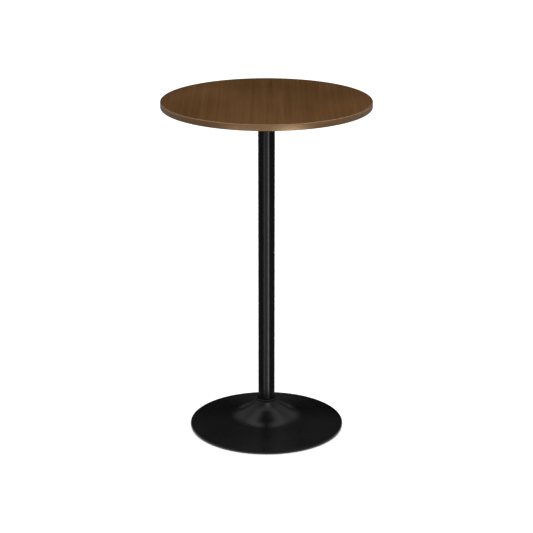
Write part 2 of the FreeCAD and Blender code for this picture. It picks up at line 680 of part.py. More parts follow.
def make_foot(name, place):
    """Nylon pad, and the steel stud that turns in it and screws through the base plate.

    The stud's disc head is trapped in the pad, so the pad need not turn on the floor. A key
    reaches the socket in the stud through the hole in the bottom of the pad.
    """
    direction = "(({foot_first_angle} + %d * 360 / {foot_count}) * 1deg)" % place
    stud_radius = "({foot_stud_diameter} / 2)"
    head_radius = "({foot_stud_head_diameter} / 2)"
    head_bottom = "({foot_pad_floor} + {fit_gap})"
    head_top = "({foot_pad_floor} + {fit_gap} + {foot_stud_head_thickness})"
    pad_top = "({base_plate_lift} - {seat_gap})"
    key_hole = "({foot_key_width} / sqrt(3) + {foot_key_hole_clearance})"
    # the stud ends just below the slope of the cover, at the side of the stud away from the column
    stud_top = (
        "(" + RIM_CORNER_HEIGHT + " - {cover_sheet} / cos({flange_angle} * 1deg) - {foot_stud_headroom}"
        " + (" + RIM_RADIUS + " - " + FOOT_CIRCLE_RADIUS + " - " + stud_radius + ")"
        " * tan({flange_angle} * 1deg))"
    )

    pad_body = new_body("foot_pad_" + name)
    section = new_sketch(pad_body, "foot_pad_section")
    pocket_radius = "(" + head_radius + " + {fit_gap})"
    bore = "(" + stud_radius + " + {fit_gap})"
    outside = "({foot_pad_diameter} / 2)"
    draw_outline(section, [
        (key_hole, "0"),
        ("(" + outside + " - {foot_pad_chamfer})", "0"),
        (outside, "{foot_pad_chamfer}"),
        (outside, "(" + pad_top + " - {foot_pad_chamfer})"),
        ("(" + outside + " - {foot_pad_chamfer})", pad_top),
        (bore, pad_top),
        (bore, "(" + head_top + " + {fit_gap})"),
        (pocket_radius, "(" + head_top + " + {fit_gap})"),
        (pocket_radius, "{foot_pad_floor}"),
        (key_hole, "{foot_pad_floor}"),
    ])
    turn(pad_body, section)

    stud_body = new_body("foot_stud_" + name)
    section = new_sketch(stud_body, "foot_stud_section")
    draw_outline(section, [
        ("0", head_bottom),
        (head_radius, head_bottom),
        (head_radius, head_top),
        (stud_radius, head_top),
        (stud_radius, "(" + stud_top + " - {foot_stud_tip_chamfer})"),
        ("(" + stud_radius + " - {foot_stud_tip_chamfer})", stud_top),
        ("0", stud_top),
    ])
    turn(stud_body, section)
    key = new_sketch(stud_body, "foot_key", "XY_Plane", "(" + head_bottom + " - {cut_overrun})")
    draw_hexagon(key, "{foot_key_width}", "0")
    pocket(stud_body, key, "{foot_key_depth} + {cut_overrun}", True)

    for body in (pad_body, stud_body):
        body.setExpression("Placement.Base.x", of(FOOT_CIRCLE_RADIUS + " * cos" + direction + " * 1mm"))
        body.setExpression("Placement.Base.y", of(FOOT_CIRCLE_RADIUS + " * sin" + direction + " * 1mm"))


make_top_core()
make_veneers()
make_edge_band()
make_threaded_inserts()
make_mounting_plate()
make_plate_fasteners()
make_column()
make_weld("plate_weld", PLATE_UNDERSIDE, upwards=False)
make_weld("flange_weld", FLANGE_TOP, upwards=True)
make_column_flange()
make_base_plate()
make_flange_screws()
make_base_cover()
make_neck_collar()
for place, corner_name in enumerate(("back_right", "back_left", "front_left", "front_right")):
    make_foot(corner_name, place)
doc.recompute()

pieces = [item for item in doc.Objects if item.TypeId == "PartDesign::Body"]
for item in doc.Objects:
    if "Invalid" in item.State or "Error" in item.State:
        raise RuntimeError(item.Label + " failed: " + str(item.State))
for piece in pieces:
    if piece.Shape.isNull() or not piece.Shape.isValid():
        raise RuntimeError(piece.Label + " has no valid shape")

os.makedirs("parts", exist_ok=True)
for piece in pieces:
    piece.Shape.exportStep(os.path.join("parts", piece.Label + ".step"))
    print(piece.Label, len(piece.Shape.Solids), round(piece.Shape.Volume), piece.Shape.BoundBox)
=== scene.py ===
# %% [markdown]
# # A round bar table, dressed for the studio
#
# The engineering model of this table already exists: every solid at its real size, and the
# joints of its levelling feet. That model is the frame. It is loaded first and is never moved.
# Around it this script sets up a small studio, mixes one finish for each material of the table,
# and builds the visible pieces again as finer meshes, each in the place of its solid.
#
# Everything is in metres. The origin is on the floor under the column, +Z is up, and the
# camera looks along +Y.

# %% Load the frame
import json
import math

import bmesh
import bpy
from mathutils import Matrix, Vector


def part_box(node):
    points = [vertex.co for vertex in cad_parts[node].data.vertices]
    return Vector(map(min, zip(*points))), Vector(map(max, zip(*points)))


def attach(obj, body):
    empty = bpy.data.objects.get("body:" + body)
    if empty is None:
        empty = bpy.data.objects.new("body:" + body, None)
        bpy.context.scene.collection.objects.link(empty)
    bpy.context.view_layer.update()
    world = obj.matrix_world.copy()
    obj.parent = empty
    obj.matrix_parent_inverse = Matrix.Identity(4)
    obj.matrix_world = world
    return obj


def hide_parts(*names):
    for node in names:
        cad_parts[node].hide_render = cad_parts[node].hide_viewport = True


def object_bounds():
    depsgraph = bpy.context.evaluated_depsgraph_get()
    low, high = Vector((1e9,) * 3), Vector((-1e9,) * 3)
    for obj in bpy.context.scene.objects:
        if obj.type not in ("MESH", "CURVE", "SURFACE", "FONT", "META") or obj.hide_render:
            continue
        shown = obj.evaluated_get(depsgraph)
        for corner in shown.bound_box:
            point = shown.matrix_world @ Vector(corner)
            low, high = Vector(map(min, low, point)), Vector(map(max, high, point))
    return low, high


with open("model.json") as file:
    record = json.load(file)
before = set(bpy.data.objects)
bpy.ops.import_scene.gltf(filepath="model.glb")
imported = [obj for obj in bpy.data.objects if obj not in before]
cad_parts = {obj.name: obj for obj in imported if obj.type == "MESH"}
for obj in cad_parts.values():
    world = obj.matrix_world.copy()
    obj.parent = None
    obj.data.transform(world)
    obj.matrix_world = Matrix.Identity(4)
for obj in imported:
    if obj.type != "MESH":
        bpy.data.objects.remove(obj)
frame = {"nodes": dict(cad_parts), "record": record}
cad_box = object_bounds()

# %% [markdown]
# ## The camera
#
# The photograph looks slightly down on the table from almost five metres away, with a long
# lens. A long lens keeps the upright column upright and the two ellipses of the top and the
# base nearly alike. The height, distance and tilt below come from laying the outlines of the
# model over those of the photograph, so they are measured, not guessed.

# %% Camera
camera_distance = 4.780
camera_height = 2.062
camera_tilt = math.radians(71.86)
focal_length = 116.8

camera_data = bpy.data.cameras.new("studio_camera")
camera_data.sensor_width = 36
camera_data.lens = focal_length
camera = bpy.data.objects.new("studio_camera", camera_data)
camera.location = (0, -camera_distance, camera_height)
camera.rotation_euler = (camera_tilt, 0, 0)
bpy.context.scene.collection.objects.link(camera)
bpy.context.scene.camera = camera
bpy.context.scene.view_settings.view_transform = "Standard"
print("camera looks down by", round(90 - math.degrees(camera_tilt), 1), "degrees")

# %% [markdown]
# ## Helpers for shader nodes
#
# Every finish below is a small network of nodes. Building one with plain calls takes three
# lines for each node: add it, set its sockets, link it. The first helper does the three at once:
# a socket that is given a number keeps it, and a socket that is given another node's output is
# linked to it. The others are short names for the nodes that come back most often.

# %% Node helper
def add_node(tree, kind, inputs=None, **settings):
    """Add a node, set its properties, then set or link its sockets."""
    made = tree.nodes.new(kind)
    for name, setting in settings.items():
        setattr(made, name, setting)
    for name, given in (inputs or {}).items():
        socket = made.inputs[name]
        if isinstance(given, bpy.types.NodeSocket):
            tree.links.new(given, socket)
        else:
            socket.default_value = given
    return made


# %% Arithmetic helpers
def calculate(tree, operation, first, second=0.0, third=0.0):
    """A Math node's output for up to three values or sockets."""
    made = add_node(tree, "ShaderNodeMath", {0: first, 1: second, 2: third}, operation=operation)
    return made.outputs[0]


def remap(tree, given, low, high, to_low, to_high, smooth=True):
    """Carry a value from one range to another, clamped at both ends."""
    made = add_node(tree, "ShaderNodeMapRange", {
        "Value": given, "From Min": low, "From Max": high, "To Min": to_low, "To Max": to_high,
    }, interpolation_type="SMOOTHSTEP" if smooth else "LINEAR")
    return made.outputs["Result"]


# %% [markdown]
# The Mix node keeps one set of sockets for each kind of value, and they share their names. So
# its sockets are picked by number: 0 is the factor, 6 and 7 are the two colours, and output 2
# is the mixed colour.

# %% Colour helper
def blend_colour(tree, factor, first, second):
    """A colour Mix node's output. Colours may be sockets or (red, green, blue)."""
    made = add_node(tree, "ShaderNodeMix", {0: factor}, data_type="RGBA")
    for index, given in ((6, first), (7, second)):
        if isinstance(given, bpy.types.NodeSocket):
            tree.links.new(given, made.inputs[index])
        else:
            made.inputs[index].default_value = (*given, 1)
    return made.outputs[2]


# %% [markdown]
# ## The studio
#
# The light is plain: a white room that shines evenly from all sides, and one softbox. The room
# is the world's background colour. An image of a real studio could take its place, but an even
# white is simpler, and it keeps the colours of the table about as they are written.

# %% World
white = (1, 1, 1, 1)
room_level = 1.0

world = bpy.data.worlds.new("studio_room")
world.use_nodes = True
bpy.context.scene.world = world
room = world.node_tree
room.nodes.clear()
background = add_node(room, "ShaderNodeBackground", {"Color": white, "Strength": room_level})
add_node(room, "ShaderNodeOutputWorld", {"Surface": background.outputs[0]})
print("world:", world.name, "at strength", room_level)

# %% [markdown]
# The floor is one large pale plane. It takes the table's soft shadow with a plain diffuse
# shader, and a little light of its own lifts it to white. It is seen through from below, so
# that the underside of the table can be looked at too.

# %% Floor
floor_size = 400

floor_mesh = bmesh.new()
bmesh.ops.create_grid(floor_mesh, x_segments=1, y_segments=1, size=floor_size / 2)
floor_data = bpy.data.meshes.new("studio_floor")
floor_mesh.to_mesh(floor_data)
floor_mesh.free()
floor = bpy.data.objects.new("studio_floor", floor_data)
bpy.context.scene.collection.objects.link(floor)
print("floor:", floor_size, "m wide")

# %% [markdown]
# The floor's own light shows to the camera, in mirrors and through clear things only. The Light
# Path node tells what kind of ray is looking, and without it the glow would light the table
# from below as well. The Backfacing output is 1 on the lower side of the plane, where the floor
# turns transparent.

# %% Floor paint
floor_colour = (0.86, 0.86, 0.86, 1)
floor_lift = 0.45

floor_paint = bpy.data.materials.new("pale_floor")
floor_paint.use_nodes = True
tree = floor_paint.node_tree
tree.nodes.clear()
diffuse = add_node(tree, "ShaderNodeBsdfDiffuse", {"Color": floor_colour})
ray = add_node(tree, "ShaderNodeLightPath")
seen = calculate(tree, "MAXIMUM", ray.outputs["Is Camera Ray"], ray.outputs["Is Glossy Ray"])
seen = calculate(tree, "MAXIMUM", seen, ray.outputs["Is Transmission Ray"])
lift = calculate(tree, "MULTIPLY", seen, floor_lift)
glow = add_node(tree, "ShaderNodeEmission", {"Color": white, "Strength": lift})
above = add_node(tree, "ShaderNodeAddShader", {0: diffuse.outputs[0], 1: glow.outputs[0]})
side = add_node(tree, "ShaderNodeNewGeometry").outputs["Backfacing"]
below = add_node(tree, "ShaderNodeBsdfTransparent")
both = add_node(tree, "ShaderNodeMixShader", {0: side, 1: above.outputs[0], 2: below.outputs[0]})
add_node(tree, "ShaderNodeOutputMaterial", {"Surface": both.outputs[0]})
floor_data.materials.append(floor_paint)
print("floor paint:", len(tree.nodes), "nodes")

# %% [markdown]
# A softbox in front and above gives the light its direction: the near side of the top is a
# little brighter than the far side. An area lamp is placed by where it stands and what it faces.
# Its power is set in watts, but what the eye compares is how bright its face looks. So the
# helper takes that brightness, the radiance, and works out the watts from the lamp's size.

# %% Lamp helper
def area_lamp(name, azimuth, distance, height, target_height, size, radiance):
    """Stand a rectangular lamp at an angle to the right of the camera, facing the column."""
    data = bpy.data.lights.new(name, "AREA")
    data.shape = "RECTANGLE"
    data.size, data.size_y = size
    data.energy = radiance * math.pi * data.size * data.size_y
    lamp = bpy.data.objects.new(name, data)
    turn = math.radians(azimuth)
    lamp.location = (distance * math.sin(turn), -distance * math.cos(turn), height)
    tilt = math.atan2(target_height - height, distance)
    lamp.rotation_euler = (math.radians(90) + tilt, 0, turn)
    lamp.visible_camera = False
    bpy.context.scene.collection.objects.link(lamp)
    print(name, "shines with", round(data.energy, 1), "W")
    return lamp


# %% Front softbox
area_lamp("front_softbox", azimuth=15, distance=2.2, height=2.7, target_height=0.8,
          size=(1.4, 1.0), radiance=1.7)

# %% [markdown]
# ## What the black coat mirrors
#
# Black lacquer is mostly a mirror of what stands round it, so a product studio surrounds it with
# cards, flags and a tent that the camera doesn't see. Here they show in reflections alone, and
# light linking keeps each from every piece but those it is meant for: an object or a lamp shines
# only on the pieces in its receiver collection. The bright floor cards show in the column and in
# the lipping of the top. The tent, the panels and the dark ring show in these two, the cover of
# the base and its collar. The flat face of the top mirrors none of it.

# %% Reflection helper
column_only = bpy.data.collections.new("column_only")
lipping_only = bpy.data.collections.new("lipping_only")
mirror_pieces = bpy.data.collections.new("mirror_pieces")


def reflection_only(name, shape, strength, mirrored_by, clear=False):
    """Make an object that glows in the reflections of some pieces and nowhere else.

    The strength is a number, or a function that builds nodes for it. A clear object adds its
    glow to what lies behind it, and the others hide that.
    """
    mesh = bpy.data.meshes.new(name)
    shape.to_mesh(mesh)
    shape.free()
    paint = bpy.data.materials.new(name)
    paint.use_nodes = True
    tree = paint.node_tree
    tree.nodes.clear()
    level = strength(tree) if callable(strength) else strength
    glow = add_node(tree, "ShaderNodeEmission", {"Strength": level}).outputs[0]
    if clear:
        see_through = add_node(tree, "ShaderNodeBsdfTransparent").outputs[0]
        glow = add_node(tree, "ShaderNodeAddShader", {0: glow, 1: see_through}).outputs[0]
    add_node(tree, "ShaderNodeOutputMaterial", {"Surface": glow})
    mesh.materials.append(paint)
    made = bpy.data.objects.new(name, mesh)
    bpy.context.scene.collection.objects.link(made)
    made.visible_camera = False
    made.visible_diffuse = False
    made.visible_shadow = False
    made.light_linking.receiver_collection = mirrored_by
    print(name, "is linked to", mirrored_by.name)


# %% [markdown]
# The tent is a great dome. In the photograph the flat flange of the base is nearly black, so
# the dome's walls are dark. The cone above the flange is lit from overhead and from both sides,
# so the dome is bright at its top and more so towards the left and right. A thin bright line at
# the horizon edges the lowest part of the base.
#
# The pattern could be painted on an image. Nodes do it here with the direction from the table to
# the spot on the dome. Its Z is the sine of the height above the horizon, which is why the
# angles below are sines.

# %% Tent levels
tent_radius = 90
# the bright line at the horizon, and the dark wall above it
horizon_level, horizon_top = 1.0, math.sin(math.radians(0.5))
wall_level, wall_bottom = 0.02, math.sin(math.radians(2.5))
# the bright ceiling, which comes lower towards the left and right
ceiling_level, ceiling_bottom, ceiling_full = 1.05, 0.83, 0.97
ceiling_lean = 0.7
# the sides: brighter with the height, and in two steps away from the middle
side_level, side_top = 1.3, math.sin(math.radians(45))
side_inner, side_outer = 0.16, 0.42
far_side_inner, far_side_outer = 0.5, 0.9


# %% Reflection tent
def tent_strength(tree):
    """Brightness of the tent by the direction in which it is seen from the table."""
    place = add_node(tree, "ShaderNodeTexCoord").outputs["Object"]
    direction = add_node(tree, "ShaderNodeVectorMath", {0: place}, operation="NORMALIZE").outputs[0]
    axes = add_node(tree, "ShaderNodeSeparateXYZ", {"Vector": direction}).outputs
    upward = axes["Z"]
    sideways = calculate(tree, "ABSOLUTE", axes["X"])
    low = remap(tree, upward, horizon_top, wall_bottom, horizon_level, wall_level)
    leaning = calculate(tree, "MULTIPLY_ADD", sideways, ceiling_lean, upward)
    high = remap(tree, leaning, ceiling_bottom, ceiling_full, 0.0, ceiling_level)
    rise = remap(tree, upward, 0.0, side_top, 0.0, side_level)
    near = remap(tree, sideways, side_inner, side_outer, 0.0, 1.0)
    far = remap(tree, sideways, far_side_inner, far_side_outer, 0.0, 1.0)
    sides = calculate(tree, "MULTIPLY", rise, calculate(tree, "ADD", near, far))
    return calculate(tree, "ADD", low, calculate(tree, "MAXIMUM", high, sides))


dome = bmesh.new()
bmesh.ops.create_uvsphere(dome, u_segments=48, v_segments=24, radius=tent_radius)
reflection_only("reflection_tent", dome, tent_strength, mirror_pieces)

# %% [markdown]
# The camera looks down on the column, so the column mirrors the floor in front of it. Its two
# upright streaks are light that lies on the studio floor, as from two tall windows. Each card
# is a wedge that widens away from the table, so that it looks equally wide from every height
# of the column. A streak falls halfway between the direction of its card and that of the
# camera.

# %% Floor card helper
widest_step = 10


def floor_card(name, turn, spread, near, far, lift, strength, mirrored_by, clear=True):
    """A wedge on the floor that points at the column, turned to the right of the camera."""
    shape = bmesh.new()
    steps = math.ceil(spread / widest_step)
    rows = []
    for step in range(steps + 1):
        angle = math.radians(turn + spread * (step / steps - 0.5))
        rows.append([
            shape.verts.new((reach * math.sin(angle), -reach * math.cos(angle), lift))
            for reach in (near, far)
        ])
    for (first, last), (next_first, next_last) in zip(rows, rows[1:]):
        shape.faces.new((first, last, next_last, next_first))
    reflection_only(name, shape, strength, mirrored_by, clear)


# %% [markdown]
# A dark ring lies under the cards, and the base mirrors only that. Each window has one card for
# the column and one for the lipping, which covers only the part of the floor where the
# photograph's camera finds it there. One card behind gives the column a streak in the views
# from the back.

# %% Floor cards
card_near, card_far = 0.25, 6
lipping_near, lipping_far = 1.9, 2.9
ring_lift, column_card_lift, lipping_card_lift = 0.003, 0.004, 0.005
ring_strength = 0.12
lipping_gain = 3.3
windows = (
    # name, turn to the right of the camera, spread, strength
    ("right_window", 24, 12, 18),
    ("right_glow", 36, 12, 5),
    ("middle_glow", -4, 44, 2.2),
    ("left_window", -32, 12, 6),
)

floor_card("dark_ring", turn=0, spread=360, near=card_near, far=card_far, lift=ring_lift,
           strength=ring_strength, mirrored_by=mirror_pieces, clear=False)
for name, turn, spread, strength in windows:
    floor_card("column_" + name, turn, spread, card_near, card_far, column_card_lift,
               strength, column_only)
    floor_card("lipping_" + name, turn, spread, lipping_near, lipping_far, lipping_card_lift,
               strength * lipping_gain, lipping_only)
floor_card("back_window", turn=180, spread=20, near=card_near, far=card_far,
           lift=column_card_lift, strength=8, mirrored_by=column_only)

# %% [markdown]
# A panel behind the table hides the bright horizon from the far side of the base. A disc under
# the ceiling and a strip in front and above light the cone, and the top of its neck.

# %% Panels
panel_distance = 7
panel_half_width = 5
panel_height = 1.2

panel = bmesh.new()
panel.faces.new([panel.verts.new((across, panel_distance, up)) for across, up in (
    (-panel_half_width, 0), (panel_half_width, 0),
    (panel_half_width, panel_height), (-panel_half_width, panel_height),
)])
reflection_only("back_panel", panel, 0.0, mirror_pieces)

ceiling_card = area_lamp("ceiling_card", azimuth=0, distance=0, height=3.2, target_height=0,
                         size=(4.8, 4.8), radiance=2.3)
ceiling_card.data.shape = "DISK"
ceiling_card.rotation_euler = (0, 0, 0)
front_card = area_lamp("front_card", azimuth=12, distance=1.8, height=1.95, target_height=0.08,
                       size=(2.2, 0.3), radiance=11.0)
for lamp in (ceiling_card, front_card):
    lamp.visible_diffuse = False
    lamp.light_linking.receiver_collection = mirror_pieces

# %% [markdown]
# ## Finishes
#
# Each finish starts the same way: a material with a Principled shader, whose constant numbers
# are set on the shader itself, and the object's own coordinates, which are metres here. Metres
# make it easy to give grain its true size: a scale of 900 is a feature about a millimetre wide.

# %% Finish helper
finishes = {}


def new_finish(finish_name, **constants):
    """Start a finish: its tree, its shader and the object's own coordinates."""
    material = bpy.data.materials.new(finish_name)
    material.use_nodes = True
    tree = material.node_tree
    tree.nodes.clear()
    shader = add_node(tree, "ShaderNodeBsdfPrincipled")
    for name, constant in constants.items():
        shader.inputs[name.replace("_", " ")].default_value = constant
    add_node(tree, "ShaderNodeOutputMaterial", {"Surface": shader.outputs["BSDF"]})
    place = add_node(tree, "ShaderNodeTexCoord").outputs["Object"]
    finishes[finish_name] = material
    return tree, shader, place


# %% [markdown]
# Nothing real is quite even, and noise is the cheapest way to say so. The Noise Texture runs
# from 0 to 1 but mostly keeps between 0.3 and 0.7, so a finish that is to vary between two
# values gets them at these two.

# %% Noise helpers
usual_low, usual_high = 0.3, 0.7


def stretched(tree, place, scales):
    """Object coordinates multiplied along each axis, for grain that is longer one way."""
    made = add_node(tree, "ShaderNodeVectorMath", {0: place, 1: scales}, operation="MULTIPLY")
    return made.outputs[0]


def noise(tree, place, scale=1.0, detail=3.0, roughness=0.5, distortion=0.0):
    """Cloudy noise between 0 and 1 at the given scale."""
    made = add_node(tree, "ShaderNodeTexNoise", {
        "Vector": place, "Scale": scale, "Detail": detail,
        "Roughness": roughness, "Distortion": distortion,
    })
    return made.outputs["Fac"]


def vary(tree, noisy, at_low, at_high):
    """Carry noise from its usual range to the one between two values."""
    return remap(tree, noisy, usual_low, usual_high, at_low, at_high)


def drive(tree, shader, colour, roughness, height, depth):
    """Link what varies over the surface: colour, roughness, and a bump of the given depth."""
    tree.links.new(colour, shader.inputs["Base Color"])
    tree.links.new(roughness, shader.inputs["Roughness"])
    bump = add_node(tree, "ShaderNodeBump", {"Height": height, "Distance": depth})
    tree.links.new(bump.outputs["Normal"], shader.inputs["Normal"])


# %% [markdown]
# ### Stained wood
#
# The top is sliced wood veneer under a brown stain, with the grain running front to back. Seen
# close, such veneer has three layers of tone: soft clouds where the stain took unevenly, long
# streaks of early and late wood, and fine dark pores. Each is a noise stretched along Y by a
# different amount. The contrast stays low, as in the photograph. A photograph of wood would be
# the other way, but it repeats or blurs where it is too small, and noise has no edge.

# %% Stained wood recipe
cloud_scales = (5, 2.2, 5)
streak_scales = (160, 1.6, 160)
fibre_scales = (700, 14, 700)
pore_scales = (1500, 40, 1500)
cloud_share, streak_share, fibre_share = 0.45, 0.4, 0.15
dark_at, middle_at, light_at = 0.34, 0.5, 0.66
pore_start, pore_full, pore_share = 0.6, 0.72, 0.45
grain_depth = 0.00006


def wood_tone(tree, along, dark, middle, light):
    """Colour, bump height and tone of stained wood, with its grain along the second coordinate."""
    clouds = noise(tree, stretched(tree, along, cloud_scales), detail=2)
    streaks = noise(tree, stretched(tree, along, streak_scales), detail=4, roughness=0.6)
    fibres = noise(tree, stretched(tree, along, fibre_scales), detail=2)
    pores = noise(tree, stretched(tree, along, pore_scales), detail=1)
    streaks = calculate(tree, "MULTIPLY", streaks, streak_share)
    broad = calculate(tree, "MULTIPLY_ADD", clouds, cloud_share, streaks)
    tone = calculate(tree, "MULTIPLY_ADD", fibres, fibre_share, broad)
    lower = remap(tree, tone, dark_at, middle_at, 0.0, 1.0, smooth=False)
    upper = remap(tree, tone, middle_at, light_at, 0.0, 1.0, smooth=False)
    colour = blend_colour(tree, lower, dark, middle)
    colour = blend_colour(tree, upper, colour, light)
    pore = remap(tree, pores, pore_start, pore_full, 0.0, pore_share)
    colour = blend_colour(tree, pore, colour, dark)
    height = calculate(tree, "MULTIPLY_ADD", pore, -1.0, fibres)
    return colour, height, tone


# %% Stained veneer
tree, shader, place = new_finish("stained_veneer", Specular_IOR_Level=0.05)
colour, height, tone = wood_tone(
    tree, place,
    dark=(0.087, 0.0396, 0.0126), middle=(0.124, 0.06, 0.0216), light=(0.161, 0.0836, 0.0324),
)
drive(tree, shader, colour, vary(tree, tone, 0.34, 0.28), height, grain_depth)

# %% [markdown]
# ### Stained lipping
#
# The lipping is a strip of solid wood bent round the edge, so its grain runs round the table.
# Plain object coordinates would draw the grain straight through it. Angle times radius gives
# the length along the strip instead, and that takes the place of Y in the same wood recipe. The
# strip's butt joint falls where the angle starts again, at the back of the table. Its lacquer is
# glossier than that of the face, and a tint in the shader keeps the gloss warm.

# %% Stained lipping
table_radius = cad_box[1].x

tree, shader, place = new_finish(
    "stained_lipping", Specular_IOR_Level=0.6, Specular_Tint=(1, 0.66, 0.36, 1),
)
axes = add_node(tree, "ShaderNodeSeparateXYZ", {"Vector": place}).outputs
round_angle = calculate(tree, "ARCTAN2", axes["X"], calculate(tree, "MULTIPLY", axes["Y"], -1.0))
length = calculate(tree, "MULTIPLY", round_angle, table_radius)
strip_place = add_node(tree, "ShaderNodeCombineXYZ", {"X": axes["Z"], "Y": length}).outputs[0]
colour, height, tone = wood_tone(
    tree, strip_place,
    dark=(0.06, 0.028, 0.011), middle=(0.098, 0.05, 0.022), light=(0.13, 0.07, 0.033),
)
drive(tree, shader, colour, vary(tree, tone, 0.37, 0.31), height, grain_depth)

# %% [markdown]
# ### Black powder coat
#
# Powder coat is melted dust: satin, very dark, with a fine skin like orange peel. The skin is a
# bump a hundredth of a millimetre deep. A broad, faint noise moves the roughness, so that
# highlights are not perfectly even. The column shows crisp streaks and the cover soft clouds of
# light, so the cover has a rougher coat of its own. Its tone is darker than the column's too, and
# that darker tone is painted shade. Shoes and brooms rub the foot of its rim to a gloss, and
# there it mirrors the floor; the rubbed band has the same painted shade.

# %% Black powder coats
skin_depth = 0.00001


def powder_coat(finish_name, dark, light, smoothest, roughest, gloss=0.08):
    """A black coat between two tones and two roughnesses."""
    tree, shader, place = new_finish(finish_name, Specular_IOR_Level=gloss)
    peel = noise(tree, place, scale=700.0, detail=2)
    patches = noise(tree, place, scale=9.0, detail=2)
    colour = blend_colour(tree, patches, (dark, dark, dark), (light, light, light))
    drive(tree, shader, colour, vary(tree, patches, smoothest, roughest), peel, skin_depth)


powder_coat("black_coat", dark=0.0045, light=0.007, smoothest=0.16, roughest=0.2)
# the cover's two coats are darker than the column's: that darker tone is painted shade
powder_coat("cover_coat_with_painted_shade", dark=0.0012, light=0.0028, smoothest=0.25, roughest=0.29)
powder_coat("rubbed_coat_with_painted_shade", dark=0.0012, light=0.0028, smoothest=0.2, roughest=0.24, gloss=0.5)

# %% [markdown]
# ### Black moulded plastic
#
# The collar and the pads of the feet are moulded. Their grain is finer than the powder coat's,
# and they shine less.

# %% Black moulded plastic
fine_depth = 0.00002

tree, shader, place = new_finish("black_plastic", Specular_IOR_Level=0.1)
grain = noise(tree, place, scale=1800.0, detail=1)
patches = noise(tree, place, scale=25.0, detail=2)
colour = blend_colour(tree, patches, (0.006, 0.006, 0.006), (0.01, 0.01, 0.01))
drive(tree, shader, colour, vary(tree, patches, 0.42, 0.5), grain, fine_depth)

# %% [markdown]
# ### Matt primer
#
# The weight plate is out of sight, so it is only primed: dull, a little cloudy, and scuffed
# where it was dragged. The scuffs are a noise stretched along X and Z, and only its highest
# values show.

# %% Matt primer
scuff_scales = (60, 900, 60)
scuff_start, scuff_full, scuff_share = 0.66, 0.78, 0.5
scuff_depth = 0.00003

tree, shader, place = new_finish("weight_coat", Specular_IOR_Level=0.3)
patches = noise(tree, place, scale=14.0, detail=4, roughness=0.6)
scuffs = noise(tree, stretched(tree, place, scuff_scales), detail=2, distortion=0.6)
worn = remap(tree, scuffs, scuff_start, scuff_full, 0.0, scuff_share)
colour = blend_colour(tree, patches, (0.014, 0.014, 0.014), (0.026, 0.026, 0.025))
colour = blend_colour(tree, worn, colour, (0.07, 0.07, 0.068))
drive(tree, shader, colour, vary(tree, patches, 0.6, 0.75), scuffs, scuff_depth)

# %% [markdown]
# ### Zinc plate and brass
#
# The fasteners are zinc plated, with the faint spangle of the bath. The inserts are brass,
# turned on a lathe, so their noise is stretched into fine rings, one above the other. A metal
# has no colour under its shine: Metallic 1 makes the base colour the colour of the reflection.

# %% Zinc plate
tree, shader, place = new_finish("zinc_steel", Metallic=1.0)
spangle = noise(tree, place, scale=160.0, detail=3)
colour = blend_colour(tree, spangle, (0.5, 0.51, 0.52), (0.68, 0.68, 0.66))
drive(tree, shader, colour, vary(tree, spangle, 0.26, 0.4), spangle, fine_depth)

# %% Brass
ring_scales = (40, 40, 3000)

tree, shader, place = new_finish("brass", Metallic=1.0)
rings = noise(tree, stretched(tree, place, ring_scales), detail=1)
colour = blend_colour(tree, rings, (0.6, 0.43, 0.17), (0.78, 0.6, 0.3))
drive(tree, shader, colour, vary(tree, rings, 0.25, 0.38), rings, fine_depth)

# %% [markdown]
# ### Fibreboard
#
# The core of the top is wood fibre pressed flat. Its noise is squeezed along Z, so that the
# fibres lie in layers.

# %% Fibreboard
pressed_scales = (500, 500, 1800)
fibre_depth = 0.0001

tree, shader, place = new_finish("fibreboard", Specular_IOR_Level=0.2)
fibres = noise(tree, stretched(tree, place, pressed_scales), detail=4, roughness=0.7)
colour = blend_colour(tree, fibres, (0.3, 0.2, 0.12), (0.5, 0.37, 0.24))
drive(tree, shader, colour, vary(tree, fibres, 0.8, 0.92), fibres, fibre_depth)

# %% [markdown]
# Every solid of the frame gets the finish of its slot. The pieces that are built again below
# take theirs from the same table, so one material is one place to change. Only the two coats of
# the cover have no slot of their own, and the cover puts them on itself. Their darker tone is
# painted shade.

# %% Dress the solids
slot_of = {part["node"]: part["material_slot"] for part in frame["record"]["subparts"]}
for node_name, solid in frame["nodes"].items():
    solid.data.materials.clear()
    solid.data.materials.append(finishes[slot_of[node_name]])
print("finishes:", ", ".join(finishes))

# %% [markdown]
# ## Outlines and turned pieces
#
# Almost everything in this table was turned, spun or bent round an axis, so one pair of helpers
# makes most of it. The first draws an outline from a few corners, each with the radius of its
# rounding, the way a drawing would give it. A Bevel modifier could round the corners too, but
# it can't tell a soft corner from a crisp one as simply as a number at each corner does.

# %% Outline helper
fine_step = math.radians(7.5)


def rounded(corners, closed=True, arc_step=fine_step):
    """Points of an outline through corners of (radius, height, rounding)."""
    points = []
    last = len(corners) - 1
    for index, (across, up, rounding) in enumerate(corners):
        corner = Vector((across, up))
        if rounding == 0 or (not closed and index in (0, last)):
            points.append(corner)
            continue
        before = (Vector(corners[index - 1][:2]) - corner).normalized()
        after = (Vector(corners[(index + 1) % len(corners)][:2]) - corner).normalized()
        half = before.angle(after) / 2
        centre = corner + (before + after).normalized() * rounding / math.sin(half)
        spoke = corner + before * rounding / math.tan(half) - centre
        sweep = math.pi - 2 * half
        if before.x * after.y - before.y * after.x > 0:
            sweep = -sweep
        steps = max(2, math.ceil(abs(sweep) / arc_step))
        for step in range(steps + 1):
            turned = spoke.copy()
            turned.rotate(Matrix.Rotation(sweep * step / steps, 2))
            points.append(centre + turned)
    return points


# %% [markdown]
# The second helper spins the outline about the upright axis. A Screw modifier could do the
# same, but a mesh that exists at once can be measured, moved and joined to others. Where the
# outline touches the axis, the spin leaves a heap of points in one place, and they are merged.

# %% Spin helper
same_place = 1e-7


